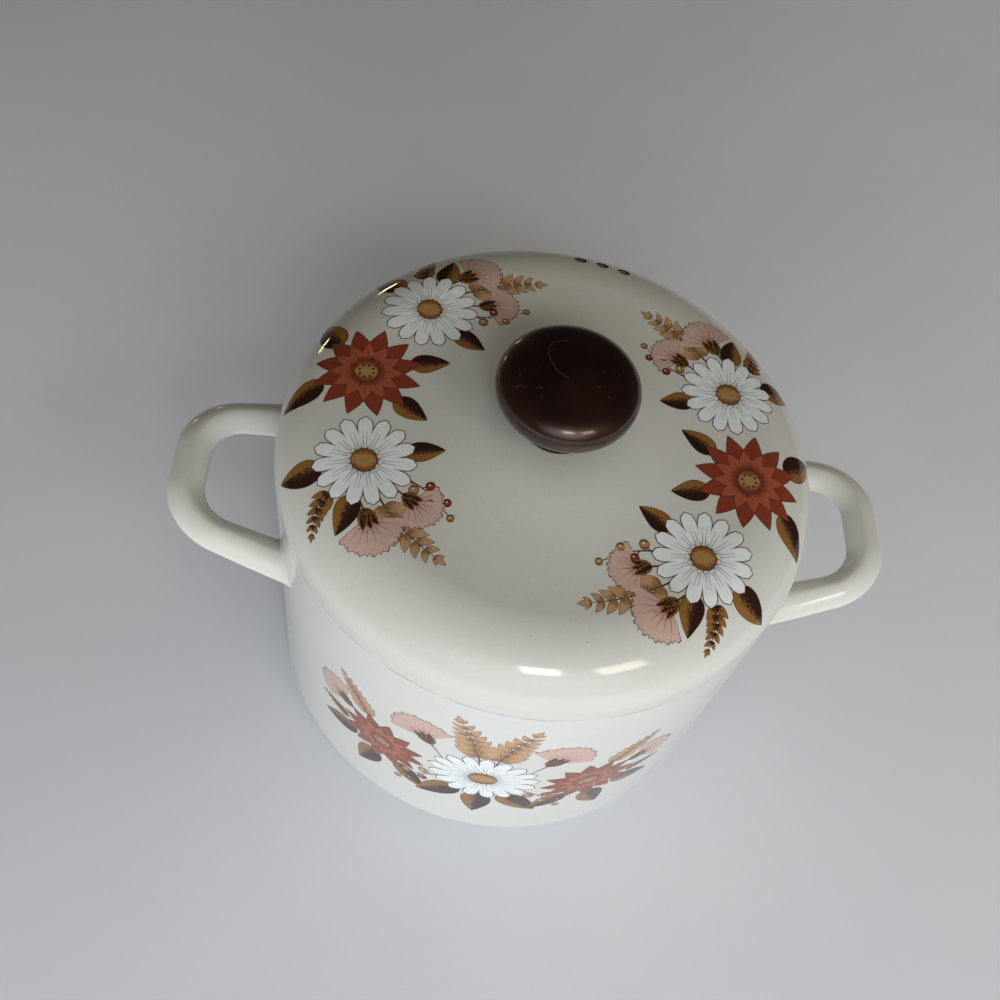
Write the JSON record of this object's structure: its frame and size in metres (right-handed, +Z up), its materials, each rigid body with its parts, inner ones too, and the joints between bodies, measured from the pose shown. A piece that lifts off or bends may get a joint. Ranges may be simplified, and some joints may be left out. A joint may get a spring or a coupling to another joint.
{
  "type": "enamel stockpot",
  "caption": "Round straight-walled enamelled steel stockpot with side strap loop handles and a flush domed lid that lifts off by a round phenolic knob.",
  "frame": {"origin": "middle of the base, on the surface that the pot stands on", "axes": "+Z up along the pot's axis, X through the two handles, -Y towards the viewer of the picture"},
  "size_m": [0.3102, 0.22, 0.2195],
  "materials": {
    "pot_enamel": "gloss ivory vitreous enamel on pressed steel",
    "handle_enamel": "gloss ivory vitreous enamel on pressed steel",
    "lid_enamel": "gloss ivory vitreous enamel on pressed steel",
    "knob_phenolic": "polished dark brown phenolic, lightly scratched",
    "insert_brass": "turned",
    "washer_fibre": "pressed vulcanised fibre",
    "fastener_steel": "bright zinc"
  },
  "bodies": {
    "pot": {"pot_body": "pot_enamel", "left_handle": "handle_enamel", "right_handle": "handle_enamel"},
    "lid_with_knob": {"lid": "lid_enamel", "knob": "knob_phenolic", "knob_insert": "insert_brass", "fibre_washer": "washer_fibre", "spring_washer": "fastener_steel", "knob_screw": "fastener_steel"}
  },
  "joints": [
    {"name": "lid_lift", "type": "slide", "parent": "pot", "child": "lid_with_knob", "axis": [0, 0, 1], "range_m": [0, 0.12]}
  ]
}
